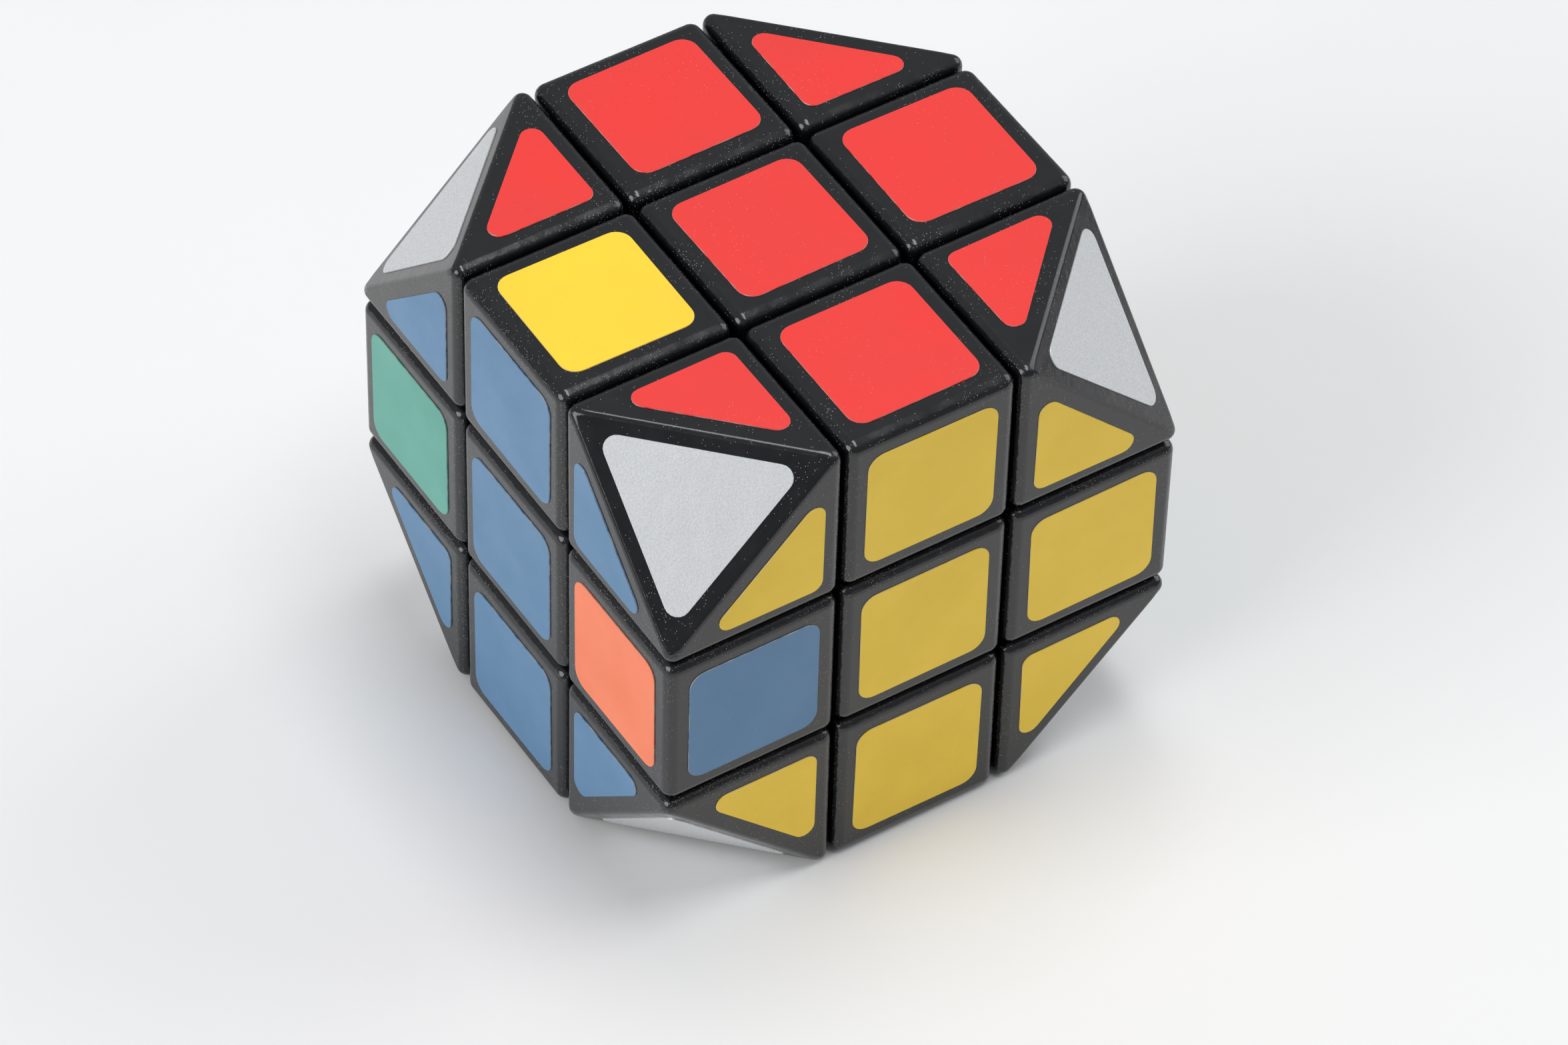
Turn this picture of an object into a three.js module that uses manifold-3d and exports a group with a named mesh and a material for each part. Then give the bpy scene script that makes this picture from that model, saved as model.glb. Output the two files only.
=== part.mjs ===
// A layer puzzle of twenty-six pieces round a hidden core. It is a cube whose eight corners are
// cut off flat, so it has six square-centred faces of eight sides and eight triangular faces.
// Millimetres, +Z up, origin at the centre of the core.
//
// Every face turns about its own axis. A turning layer is bounded by one surface of revolution
// about that axis: the flat slice between the layers, and under it the shell in which the feet
// of the edges and corners run. Every piece is made of the parts of those shells that belong to
// it, so any layer can turn past the others.

import * as THREE from "three";
import { ConvexGeometry } from "three/addons/geometries/ConvexGeometry.js";
import { mergeVertices } from "three/addons/utils/BufferGeometryUtils.js";
import Module from "manifold-3d";

// ---- Driving dimensions ------------------------------------------------------------------

const CUBE_WIDTH = 57; // across two opposite faces
const MIDDLE_LAYER = 19; // thickness of the middle layer
const PIECE_GAP = 0.4; // between any two pieces that turn past each other
const EDGE_ROUNDING = 1; // outer edges of every piece
const TIP_WIDTH = 1; // what a corner's flat cut leaves of each outer edge, beside its neighbour
const SHELL_WALL = 1.5; // walls of the hollow edges and corners
const CENTRE_PLATE = 6.5; // thickness of a centre piece over the feet, on its axis
const FOOT_THICKNESS = 3.5; // feet of the edges and corners, along the radius
const FOOT_TO_STEM = 0.8; // how far the feet stay off the flat sides of a centre's stem
const WINDOW_WIDTH = 6; // opening under an edge piece, through its foot

const SCREW_RADIUS = 1.5;
const SCREW_TIP_HEIGHT = 4; // tip of a screw above the middle of the core
const SCREW_POINT = 1.4; // length of its tapered point
const HEAD_HEIGHT = 2;
const HEAD_CROWN = 0.7; // part of the head's height that is bevelled
const CROSS_WIDTH = 0.8;
const CROSS_LENGTH = 3;
const CROSS_DEPTH = 1.1;
const WASHER_THICKNESS = 0.6;
const WIRE_RADIUS = 0.4;
const SPRING_PITCH = 1.45;
const STEM_WALL = 1.6; // round the well that holds spring and screw
const STEM_FLOOR = 2; // bottom of the well, which the spring presses on
const ARM_LENGTH = 12.5; // arms of the core, from its middle
const ARM_WALL = 2.4; // round the screw's pilot hole
const PILOT_BOTTOM = 3.4; // bottom of a pilot hole above the middle of the core
const HUB_WIDTH = 12.6; // block in the middle of the core
const HUB_ROUNDING = 2.2;

const CAP_WIDTH = 12.4; // lid pressed into a centre piece
const CAP_THICKNESS = 1.3;
const CAP_SPIGOT = 0.8; // round lip under the lid
const PEG_LENGTH = 5; // peg of a corner's foot inside the hollow corner

// ---- Clearances --------------------------------------------------------------------------

const FIT = 0.3; // between two pieces that are fixed or rest on each other
const SPRING_CLEARANCE = 0.8; // screw to spring
const WELL_CLEARANCE = 0.5; // spring to well
const HEAD_CLEARANCE = 0.7; // screw head to well
const WASHER_CLEARANCE = 0.4; // washer to well
const HEAD_TO_LID = 1.6; // top of the screw head to the floor of the lid's recess
const PEG_CLEARANCE = 0.45; // peg to the walls at the mouth of the hollow corner

// ---- Sizes that follow -------------------------------------------------------------------

const HALF_CUBE = CUBE_WIDTH / 2;
const SLICE = MIDDLE_LAYER / 2; // height of the slice plane above the core's middle
const HALF_GAP = PIECE_GAP / 2;
const PILOT_RADIUS = SCREW_RADIUS + FIT;
const ARM_RADIUS = PILOT_RADIUS + ARM_WALL;
const SPRING_RADIUS = SCREW_RADIUS + SPRING_CLEARANCE + WIRE_RADIUS;
const WELL_RADIUS = SPRING_RADIUS + WIRE_RADIUS + WELL_CLEARANCE;
const STEM_RADIUS = WELL_RADIUS + STEM_WALL;
const FOOT_PLANE = STEM_RADIUS + FOOT_TO_STEM; // where the feet end, next to a stem
const FOOT_OUTER = HALF_CUBE - CENTRE_PLATE; // outer radius of the shell the feet run in
const FOOT_INNER = FOOT_OUTER - FOOT_THICKNESS;

const STEM_BOTTOM = ARM_LENGTH + FIT;
const WELL_FLOOR = STEM_BOTTOM + STEM_FLOOR;
const CAP_BOTTOM = HALF_CUBE - CAP_THICKNESS;
const RECESS_FLOOR = CAP_BOTTOM - FIT;
const HEAD_TOP = RECESS_FLOOR - HEAD_TO_LID;
const HEAD_BOTTOM = HEAD_TOP - HEAD_HEIGHT;
const WASHER_TOP = HEAD_BOTTOM - FIT;
const SPRING_TOP = WASHER_TOP - WASHER_THICKNESS - FIT;
const SPRING_BOTTOM = WELL_FLOOR + FIT;

const BEYOND = CUBE_WIDTH; // far enough for any cut to pass right through

// ---- Smoothness --------------------------------------------------------------------------

const BALL_DETAIL = 4; // facets of the shells that pieces run on
const HOLLOW_DETAIL = 2; // facets of the rounded inside of an edge piece
const ROUND_SEGMENTS = 16;
const SMALL_ROUND_SEGMENTS = 10;
const WIRE_SEGMENTS = 5;
const STEPS_PER_TURN = 8;

// ---- Directions --------------------------------------------------------------------------

// The faces by their usual letters: up, down, left, right, front and back.
const FACES = {
  u: new THREE.Vector3(0, 0, 1),
  d: new THREE.Vector3(0, 0, -1),
  l: new THREE.Vector3(-1, 0, 0),
  r: new THREE.Vector3(1, 0, 0),
  f: new THREE.Vector3(0, -1, 0),
  b: new THREE.Vector3(0, 1, 0),
};

// An edge lies between two faces, a corner between three.
const EDGES = ["ul", "ur", "uf", "ub", "ld", "rd", "fd", "bd", "lf", "bl", "fr", "rb"];
const CORNERS = ["ulf", "ulb", "urf", "urb", "ldf", "ldb", "rdf", "rdb"];

const Z_AXIS = new THREE.Vector3(0, 0, 1);
const EDGE_DIRECTION = new THREE.Vector3(0, 1, 1).normalize();
const CORNER_DIRECTION = new THREE.Vector3(1, 1, 1).normalize();

// ---- Solids ------------------------------------------------------------------------------

const wasm = await Module();
wasm.setup();

function solid(geometry) {
  geometry.deleteAttribute("normal");
  geometry.deleteAttribute("uv");
  const merged = mergeVertices(geometry);
  const corners = merged.index.array;
  const triangles = [];
  for (let i = 0; i < corners.length; i += 3) {
    const [a, b, c] = corners.slice(i, i + 3);
    if (a !== b && b !== c && c !== a) triangles.push(a, b, c);
  }
  const vertProperties = merged.attributes.position.array;
  const triVerts = new Uint32Array(triangles);
  return new wasm.Manifold(new wasm.Mesh({ numProp: 3, vertProperties, triVerts }));
}

function box(low, high) {
  const size = high.map((value, i) => value - low[i]);
  const geometry = new THREE.BoxGeometry(...size);
  return solid(geometry.translate(...low.map((value, i) => value + size[i] / 2)));
}

// Every [x, y, z] whose values are taken from a list.
function triples(values) {
  return values.flatMap((x) => values.flatMap((y) => values.map((z) => [x, y, z])));
}

// A box with rounded edges: the hull of a facetted ball in each of its corners.
function roundedBox(low, high, rounding) {
  const points = [];
  for (const side of triples([-1, 1])) {
    const centre = side.map((s, i) => (s > 0 ? high[i] - rounding : low[i] + rounding));
    for (const step of triples([0, 1]).slice(1)) {
      const offset = new THREE.Vector3(...step.map((value, i) => value * side[i]));
      points.push(offset.setLength(rounding).add(new THREE.Vector3(...centre)));
    }
  }
  return solid(new ConvexGeometry(points));
}

function ball(radius, detail = BALL_DETAIL) {
  return solid(new THREE.IcosahedronGeometry(radius, detail));
}

// A solid turned about Z from a list of [radius, height].
function turned(profile, segments = ROUND_SEGMENTS) {
  const points = profile.map(([radius, height]) => new THREE.Vector2(radius, height));
  return solid(new THREE.LatheGeometry(points, segments).rotateX(Math.PI / 2));
}

function rod(radius, bottom, top, segments = ROUND_SEGMENTS) {
  return turned([[0, bottom], [radius, bottom], [radius, top], [0, top]], segments);
}

// Everything past a plane square to the direction, at this distance from the middle.
function beyondPlane(direction, distance) {
  const geometry = new THREE.BoxGeometry(2 * BEYOND, 2 * BEYOND, BEYOND);
  geometry.translate(0, 0, distance + BEYOND / 2);
  const turn = new THREE.Quaternion().setFromUnitVectors(Z_AXIS, direction);
  return solid(geometry.applyQuaternion(turn));
}

// ---- Where a piece goes ------------------------------------------------------------------

function centreTurn(face) {
  return new THREE.Quaternion().setFromUnitVectors(Z_AXIS, FACES[face]);
}

// Turns the axes Z and Y, or Z, Y and X, onto the faces that the letters name.
function pieceTurn(letters) {
  const [z, y] = [...letters].map((letter) => FACES[letter]);
  const x = new THREE.Vector3().crossVectors(y, z);
  const third = FACES[letters[2]];
  const mirrored = third !== undefined && third.dot(x) < 0;
  const basis = new THREE.Matrix4();
  if (mirrored) basis.makeBasis(y, third, z);
  else basis.makeBasis(x, y, z);
  return new THREE.Quaternion().setFromRotationMatrix(basis);
}

const puzzle = new THREE.Group();

function place(name, shape, material, turn = new THREE.Quaternion()) {
  const { numProp, vertProperties, triVerts } = shape.getMesh();
  const geometry = new THREE.BufferGeometry();
  geometry.setAttribute("position", new THREE.BufferAttribute(vertProperties, numProp));
  geometry.setIndex(new THREE.BufferAttribute(triVerts, 1));
  const mesh = new THREE.Mesh(geometry, new THREE.MeshStandardMaterial(material));
  mesh.name = name;
  mesh.quaternion.copy(turn);
  puzzle.add(mesh);
}

const BLACK_PLASTIC = { color: 0x1a1a1c, roughness: 0.38, metalness: 0 };
const NYLON = { color: 0xd9d5c8, roughness: 0.5, metalness: 0 };
const STEEL = { color: 0xb4b5b8, roughness: 0.32, metalness: 1 };

// ---- Core: a block with six arms, each drilled for a screw ---------------------------------

function coreSpider() {
  const half = HUB_WIDTH / 2;
  let shape = roundedBox([-half, -half, -half], [half, half, half], HUB_ROUNDING);
  const arm = rod(ARM_RADIUS, 0, ARM_LENGTH);
  const pilot = rod(PILOT_RADIUS, PILOT_BOTTOM, BEYOND, SMALL_ROUND_SEGMENTS);
  const turns = Object.keys(FACES).map((face) => {
    return new THREE.Matrix4().makeRotationFromQuaternion(centreTurn(face)).elements;
  });
  for (const turn of turns) shape = shape.add(arm.transform(turn));
  for (const turn of turns) shape = shape.subtract(pilot.transform(turn));
  return shape;
}

// ---- Screw, washer and spring on an arm, pointing up ---------------------------------------

function screw() {
  const headRadius = WELL_RADIUS - HEAD_CLEARANCE;
  const shape = turned([
    [0, SCREW_TIP_HEIGHT],
    [SCREW_RADIUS, SCREW_TIP_HEIGHT + SCREW_POINT],
    [SCREW_RADIUS, HEAD_BOTTOM],
    [headRadius, HEAD_BOTTOM],
    [headRadius, HEAD_TOP - HEAD_CROWN],
    [headRadius - HEAD_CROWN, HEAD_TOP],
    [0, HEAD_TOP],
  ], SMALL_ROUND_SEGMENTS);
  const floor = HEAD_TOP - CROSS_DEPTH;
  const slot = [CROSS_LENGTH / 2, CROSS_WIDTH / 2];
  const along = box([-slot[0], -slot[1], floor], [slot[0], slot[1], BEYOND]);
  const across = box([-slot[1], -slot[0], floor], [slot[1], slot[0], BEYOND]);
  return shape.subtract(along.add(across));
}

function washer() {
  const inner = SCREW_RADIUS + FIT;
  const outer = WELL_RADIUS - WASHER_CLEARANCE;
  const bottom = WASHER_TOP - WASHER_THICKNESS;
  const profile = [[inner, bottom], [outer, bottom], [outer, WASHER_TOP], [inner, WASHER_TOP]];
  return turned([...profile, profile[0]], SMALL_ROUND_SEGMENTS);
}

class Helix extends THREE.Curve {
  constructor(radius, bottom, top, turns) {
    super();
    Object.assign(this, { radius, bottom, top, turns });
  }

  getPoint(t, target = new THREE.Vector3()) {
    const angle = 2 * Math.PI * this.turns * t;
    const height = this.bottom + (this.top - this.bottom) * t;
    return target.set(this.radius * Math.cos(angle), this.radius * Math.sin(angle), height);
  }
}

function spring() {
  const bottom = SPRING_BOTTOM + WIRE_RADIUS;
  const top = SPRING_TOP - WIRE_RADIUS;
  const turns = (top - bottom) / SPRING_PITCH;
  const section = [];
  for (let i = 0; i < WIRE_SEGMENTS; i++) {
    const angle = (2 * Math.PI * i) / WIRE_SEGMENTS;
    section.push(new THREE.Vector2(Math.cos(angle), Math.sin(angle)).multiplyScalar(WIRE_RADIUS));
  }
  return solid(new THREE.ExtrudeGeometry(new THREE.Shape(section), {
    steps: Math.ceil(turns * STEPS_PER_TURN),
    extrudePath: new Helix(SPRING_RADIUS, bottom, top, turns),
  }));
}

// ---- Centre piece: a plate with a stem that holds the spring, closed by a lid --------------

const NEAR_SIDE = SLICE + HALF_GAP; // inner sides of an edge or a corner
const CENTRE_SIDE = SLICE - HALF_GAP; // half the width of a centre or an edge
const FOOT_SIDE = FOOT_PLANE + HALF_GAP; // sides of a foot that face the stems
const STEM_SIDE = FOOT_PLANE - HALF_GAP; // half the width of what is left between the feet

const underPlates = ball(FOOT_OUTER + HALF_GAP);
const footTop = ball(FOOT_OUTER - HALF_GAP);
const coreSpace = ball(FOOT_INNER + HALF_GAP);

function centre() {
  const side = CENTRE_SIDE;
  const plate = roundedBox([-side, -side, SLICE], [side, side, HALF_CUBE], EDGE_ROUNDING);
  const neck = box([-STEM_SIDE, -STEM_SIDE, SLICE], [STEM_SIDE, STEM_SIDE, RECESS_FLOOR]);
  const stem = rod(STEM_RADIUS, STEM_BOTTOM, RECESS_FLOOR);
  const well = rod(WELL_RADIUS, WELL_FLOOR, BEYOND);
  const hole = rod(SCREW_RADIUS + FIT, 0, BEYOND, SMALL_ROUND_SEGMENTS);
  const recessSide = CAP_WIDTH / 2 + FIT;
  const recess = box([-recessSide, -recessSide, RECESS_FLOOR], [recessSide, recessSide, BEYOND]);
  const body = plate.subtract(underPlates).add(neck.subtract(coreSpace)).add(stem);
  return body.subtract(well).subtract(hole).subtract(recess);
}

function centreLid() {
  const side = CAP_WIDTH / 2;
  const lid = box([-side, -side, CAP_BOTTOM], [side, side, HALF_CUBE]);
  return lid.add(rod(WELL_RADIUS - FIT, CAP_BOTTOM - CAP_SPIGOT - FIT, CAP_BOTTOM + FIT));
}

// The room inside a box whose walls are SHELL_WALL thick.
function insideWalls(low, high) {
  return box(low.map((value) => value + SHELL_WALL), high.map((value) => value - SHELL_WALL));
}

// ---- Edge piece: a hollow block with a foot, between the faces +Z and +Y --------------------

function edge() {
  const low = [-CENTRE_SIDE, NEAR_SIDE, NEAR_SIDE];
  const high = [CENTRE_SIDE, HALF_CUBE, HALF_CUBE];
  const block = roundedBox(low, high, EDGE_ROUNDING);
  const neck = box([-STEM_SIDE, NEAR_SIDE, NEAR_SIDE], [STEM_SIDE, FOOT_OUTER, FOOT_OUTER]);
  const footBox = box([-STEM_SIDE, FOOT_SIDE, FOOT_SIDE], [STEM_SIDE, FOOT_OUTER, FOOT_OUTER]);
  const body = block.subtract(underPlates).add(neck).add(footBox.intersect(footTop));
  const hollow = insideWalls(low, high);
  const overFoot = ball(FOOT_OUTER + HALF_GAP + SHELL_WALL, HOLLOW_DETAIL);
  return body.subtract(coreSpace).subtract(hollow.subtract(overFoot)).subtract(edgeWindow());
}

// A square opening along the piece's diagonal, from the core into the hollow block.
function edgeWindow() {
  const geometry = new THREE.BoxGeometry(WINDOW_WIDTH, WINDOW_WIDTH, HALF_CUBE);
  geometry.translate(0, 0, HALF_CUBE / 2);
  const turn = new THREE.Quaternion().setFromUnitVectors(Z_AXIS, EDGE_DIRECTION);
  return solid(geometry.applyQuaternion(turn));
}

// ---- Corner piece: a hollow shell and the foot that closes it, between +X, +Y and +Z -------

const CORNER_CUT = (2 * HALF_CUBE + SLICE + TIP_WIDTH) / Math.sqrt(3); // from the core's middle
const SHELL_MOUTH = FOOT_OUTER - HALF_GAP + FIT; // radius at which the hollow corner opens

function cornerShell() {
  const low = [NEAR_SIDE, NEAR_SIDE, NEAR_SIDE];
  const high = [HALF_CUBE, HALF_CUBE, HALF_CUBE];
  const block = roundedBox(low, high, EDGE_ROUNDING);
  const outside = block.subtract(beyondPlane(CORNER_DIRECTION, CORNER_CUT));
  const cutInside = beyondPlane(CORNER_DIRECTION, CORNER_CUT - SHELL_WALL);
  const hollow = insideWalls(low, high).subtract(cutInside);
  return outside.subtract(hollow).subtract(ball(SHELL_MOUTH));
}

// The mouth is a triangle. The middle of each of its sides lies where a wall meets the ball
// of radius SHELL_MOUTH, at (wall, beside, beside), and the peg keeps its clearance from it.
function pegRadius() {
  const wall = NEAR_SIDE + SHELL_WALL;
  const beside = Math.sqrt((SHELL_MOUTH ** 2 - wall ** 2) / 2);
  return (beside - wall) * Math.sqrt(2 / 3) - PEG_CLEARANCE;
}

function cornerFoot() {
  const low = [FOOT_SIDE, FOOT_SIDE, FOOT_SIDE];
  const high = [FOOT_OUTER, FOOT_OUTER, FOOT_OUTER];
  const foot = box(low, high).intersect(footTop).subtract(coreSpace);
  const middle = FOOT_OUTER - FOOT_THICKNESS / 2;
  const radius = pegRadius();
  const geometry = new THREE.CylinderGeometry(radius, radius, PEG_LENGTH, SMALL_ROUND_SEGMENTS);
  geometry.rotateX(Math.PI / 2).translate(0, 0, middle + PEG_LENGTH / 2);
  const turn = new THREE.Quaternion().setFromUnitVectors(Z_AXIS, CORNER_DIRECTION);
  return foot.add(solid(geometry.applyQuaternion(turn)));
}

// ---- Assembly ----------------------------------------------------------------------------

place("core_spider", coreSpider(), NYLON);

const armPieces = {
  screw: [screw(), STEEL],
  washer: [washer(), STEEL],
  spring: [spring(), STEEL],
  centre: [centre(), BLACK_PLASTIC],
  centre_lid: [centreLid(), BLACK_PLASTIC],
};
for (const face of Object.keys(FACES)) {
  for (const [piece, [shape, material]] of Object.entries(armPieces)) {
    place(`${piece}_${face}`, shape, material, centreTurn(face));
  }
}

const edgeShape = edge();
for (const letters of EDGES) place(`edge_${letters}`, edgeShape, BLACK_PLASTIC, pieceTurn(letters));

const shellShape = cornerShell();
const footShape = cornerFoot();
for (const letters of CORNERS) {
  place(`corner_shell_${letters}`, shellShape, BLACK_PLASTIC, pieceTurn(letters));
  place(`corner_foot_${letters}`, footShape, BLACK_PLASTIC, pieceTurn(letters));
}

export default puzzle;
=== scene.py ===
"""A layer puzzle in the shape of a cube with its eight corners cut off flat, on a white table.

The frame is in metres. Its origin is the middle of the puzzle's core, +Z is up through the red
face, -X through the blue face and -Y through the yellow face. Sizes are in millimetres, and MM
turns them into metres when a piece is put in its place."""

import itertools
import math
import random

import bmesh
import bpy
from mathutils import Matrix, Vector


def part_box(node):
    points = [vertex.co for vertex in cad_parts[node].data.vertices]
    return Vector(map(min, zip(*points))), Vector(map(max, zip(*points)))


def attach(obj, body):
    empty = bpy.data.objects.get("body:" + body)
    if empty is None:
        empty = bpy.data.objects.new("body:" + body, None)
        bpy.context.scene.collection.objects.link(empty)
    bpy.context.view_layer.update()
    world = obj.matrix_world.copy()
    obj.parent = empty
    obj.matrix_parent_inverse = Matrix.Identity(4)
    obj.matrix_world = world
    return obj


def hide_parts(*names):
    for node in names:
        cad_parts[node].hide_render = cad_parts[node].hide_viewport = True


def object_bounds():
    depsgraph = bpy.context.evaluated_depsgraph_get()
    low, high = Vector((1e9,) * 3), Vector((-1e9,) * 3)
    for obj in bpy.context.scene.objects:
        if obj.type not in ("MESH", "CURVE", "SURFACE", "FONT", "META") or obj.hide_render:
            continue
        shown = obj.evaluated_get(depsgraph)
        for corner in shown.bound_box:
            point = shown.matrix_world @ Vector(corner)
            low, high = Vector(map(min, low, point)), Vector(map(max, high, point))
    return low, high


MM = 0.001
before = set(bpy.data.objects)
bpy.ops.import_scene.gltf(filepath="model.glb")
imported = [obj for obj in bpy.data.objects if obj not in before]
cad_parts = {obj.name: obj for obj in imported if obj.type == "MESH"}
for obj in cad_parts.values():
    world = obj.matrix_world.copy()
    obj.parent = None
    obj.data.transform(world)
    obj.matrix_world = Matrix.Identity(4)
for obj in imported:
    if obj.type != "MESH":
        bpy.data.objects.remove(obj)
cad_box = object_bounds()
scene = bpy.context.scene
scene.view_settings.view_transform = "Standard"
HALF_CUBE = cad_box[1].z / MM  # from the core's middle to each face


# ---- Core -----------------------------------------------------------------------------------
# A spider with six arms, moulded in natural off-white nylon. Each arm is a tapered boss with a
# pilot hole down its middle, and the screw of its centre piece cuts its own thread in it.

HUB_HALF = 6.3
HUB_ROUNDING = 2.2
ARM_LENGTH = 12.5
ARM_RADIUS = 4.2
ARM_FILLET = 0.9
ARM_SINK = 0.6  # depth in the hub from which an arm widens into its fillet
ARM_CHAMFER = 0.5
PILOT_RADIUS = 1.8
PILOT_BOTTOM = 3.4
PILOT_LEAD = 0.5  # widening at the mouth of a pilot hole
RIB_HALF_WIDTH = 0.6
RIB_HEIGHT = 1.1  # over the hub, beside an arm
RIB_SINK = 1  # depth of a rib in the hub
RIB_ROUNDING = 0.3
PAST = 1  # how far a tool runs past the piece that it cuts
NYLON = (0.69, 0.655, 0.575, 1)
DARK_NYLON = (0.60, 0.56, 0.47, 1)

# The faces by their usual letters: up, down, left, right, front and back.
FACES = {
    "u": Vector((0, 0, 1)),
    "d": Vector((0, 0, -1)),
    "l": Vector((-1, 0, 0)),
    "r": Vector((1, 0, 0)),
    "f": Vector((0, -1, 0)),
    "b": Vector((0, 1, 0)),
}


def face_turn(face):
    """Turns +Z onto a face."""
    return Vector((0, 0, 1)).rotation_difference(FACES[face]).to_matrix()


def made(name, bm):
    """An object from a closed shape, which is used up."""
    bmesh.ops.recalc_face_normals(bm, faces=bm.faces)
    mesh = bpy.data.meshes.new(name)
    bm.to_mesh(mesh)
    bm.free()
    piece = bpy.data.objects.new(name, mesh)
    scene.collection.objects.link(piece)
    return piece


def ball_points(centre, radius, steps=6):
    """Points all over a ball, those on its axes and on its diagonals among them."""
    for i, j in itertools.product(range(steps + 1), repeat=2):
        if i + j > steps:
            continue
        share = [math.sin(math.pi / 2 * n / steps) for n in (i, j, steps - i - j)]
        reach = Vector(share).normalized() * radius
        for signs in itertools.product((-1, 1), repeat=3):
            yield Vector(centre) + Vector([a * b for a, b in zip(signs, reach)])


def hull(name, points):
    """The smallest solid without hollows that holds the points."""
    bm = bmesh.new()
    for point in points:
        bm.verts.new(point)
    bmesh.ops.remove_doubles(bm, verts=bm.verts, dist=0.0001)
    result = bmesh.ops.convex_hull(bm, input=bm.verts)
    inside = {v for v in result["geom_interior"] if isinstance(v, bmesh.types.BMVert)}
    bmesh.ops.delete(bm, geom=list(inside), context="VERTS")
    flat = math.radians(0.2)
    bmesh.ops.dissolve_limit(bm, angle_limit=flat, verts=bm.verts, edges=bm.edges)
    return made(name, bm)


def block(low, high, rounding):
    """A box with rounded edges."""
    points = []
    for ends in itertools.product(*zip(low, high)):
        middle = [
            end + rounding if end == lo else end - rounding for end, lo in zip(ends, low)
        ]
        points += ball_points(middle, rounding)
    return hull("block", points)


def turned(profile, segments=48, closed=False):
    """A solid turned about Z from (radius, height) points. Its profile starts and ends on the
    axis, or closes on itself."""
    bm = bmesh.new()
    rings = []
    for radius, height in profile:
        if radius == 0:
            rings.append([bm.verts.new((0, 0, height))] * segments)
            continue
        ring = []
        for i in range(segments):
            angle = math.tau * i / segments
            ring.append(
                bm.verts.new((radius * math.cos(angle), radius * math.sin(angle), height))
            )
        rings.append(ring)
    if closed:
        rings.append(rings[0])
    for lower, upper in zip(rings, rings[1:]):
        for i in range(segments):
            corners = (lower[i - 1], lower[i], upper[i], upper[i - 1])
            bm.faces.new(list(dict.fromkeys(corners)))
    return made("turned", bm)


def rod(radius, bottom, top):
    return turned([(0, bottom), (radius, bottom), (radius, top), (0, top)])


def worked(base, operation, *tools):
    """Joins solids to a piece, cuts them out of it, or keeps what they share with it. The
    tools are used up."""
    for tool in tools:
        step = base.modifiers.new(operation, "BOOLEAN")
        step.operation = operation
        step.object = tool
        step.solver = "MANIFOLD"
        now = bpy.context.evaluated_depsgraph_get()
        mesh = bpy.data.meshes.new_from_object(base.evaluated_get(now))
        base.modifiers.remove(step)
        base.data = mesh
        bpy.data.objects.remove(tool)
    return base


def swung(tool, turn):
    """The same tool, turned."""
    tool.data.transform(turn.to_4x4())
    return tool


def smoothed(pattern, crease=35):
    """Smooth shading, apart from creases sharper than this many degrees."""
    pattern.data.shade_smooth()
    pattern.data.set_sharp_from_angle(angle=math.radians(crease))
    return pattern


def placed(pattern, name, turn, material, slot, body, *nodes):
    """A copy of a pattern as a piece of its own, in metres, in its place."""
    mesh = pattern.data.copy()
    mesh.name = name
    mesh.transform(Matrix.Scale(MM, 4) @ turn.to_4x4())
    mesh.materials.clear()
    mesh.materials.append(material)
    piece = bpy.data.objects.new(name, mesh)
    scene.collection.objects.link(piece)
    normals = piece.modifiers.new("flat sides stay flat", "WEIGHTED_NORMAL")
    normals.keep_sharp = True
    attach(piece, body)
    if nodes:
        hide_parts(*nodes)
    return piece


def node_group(name, inputs, outputs):
    """An empty shader node group with number inputs, and its two ends."""
    group = bpy.data.node_groups.new(name, "ShaderNodeTree")
    for label, value in inputs.items():
        socket = group.interface.new_socket(label, in_out="INPUT", socket_type="NodeSocketFloat")
        socket.default_value = value
    for label in outputs:
        group.interface.new_socket(label, in_out="OUTPUT", socket_type="NodeSocketFloat")
    start = group.nodes.new("NodeGroupInput")
    end = group.nodes.new("NodeGroupOutput")
    return group, start, end


def math_node(tree, operation, first, second=None, clamp=False):
    """A Math node's result; what goes in is a number or another node's output."""
    node = tree.nodes.new("ShaderNodeMath")
    node.operation = operation
    node.use_clamp = clamp
    for socket, value in zip(node.inputs, (first, second)):
        if isinstance(value, (int, float)):
            socket.default_value = value
        elif value is not None:
            tree.links.new(value, socket)
    return node.outputs[0]


def noise(tree, place, scale, detail=2.0):
    """Noise from 0 to 1 at so many waves a metre."""
    node = tree.nodes.new("ShaderNodeTexNoise")
    node.inputs["Detail"].default_value = detail
    tree.links.new(place, node.inputs["Vector"])
    if isinstance(scale, (int, float)):
        node.inputs["Scale"].default_value = scale
    else:
        tree.links.new(scale, node.inputs["Scale"])
    return node.outputs["Fac"]


def object_place(tree):
    return tree.nodes.new("ShaderNodeTexCoord").outputs["Object"]


# Grain is the fine texture that a mould or a press leaves: a rough one over a slow swell.
grain, grain_in, grain_out = node_group("Grain", {"Fine": 9000, "Swell": 700}, ["Height"])
grain_place = object_place(grain)
fine = noise(grain, grain_place, grain_in.outputs["Fine"], 1.0)
swell = noise(grain, grain_place, grain_in.outputs["Swell"], 1.0)
grain.links.new(
    math_node(grain, "ADD", math_node(grain, "MULTIPLY", fine, 0.25), swell),
    grain_out.inputs["Height"],
)


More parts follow.
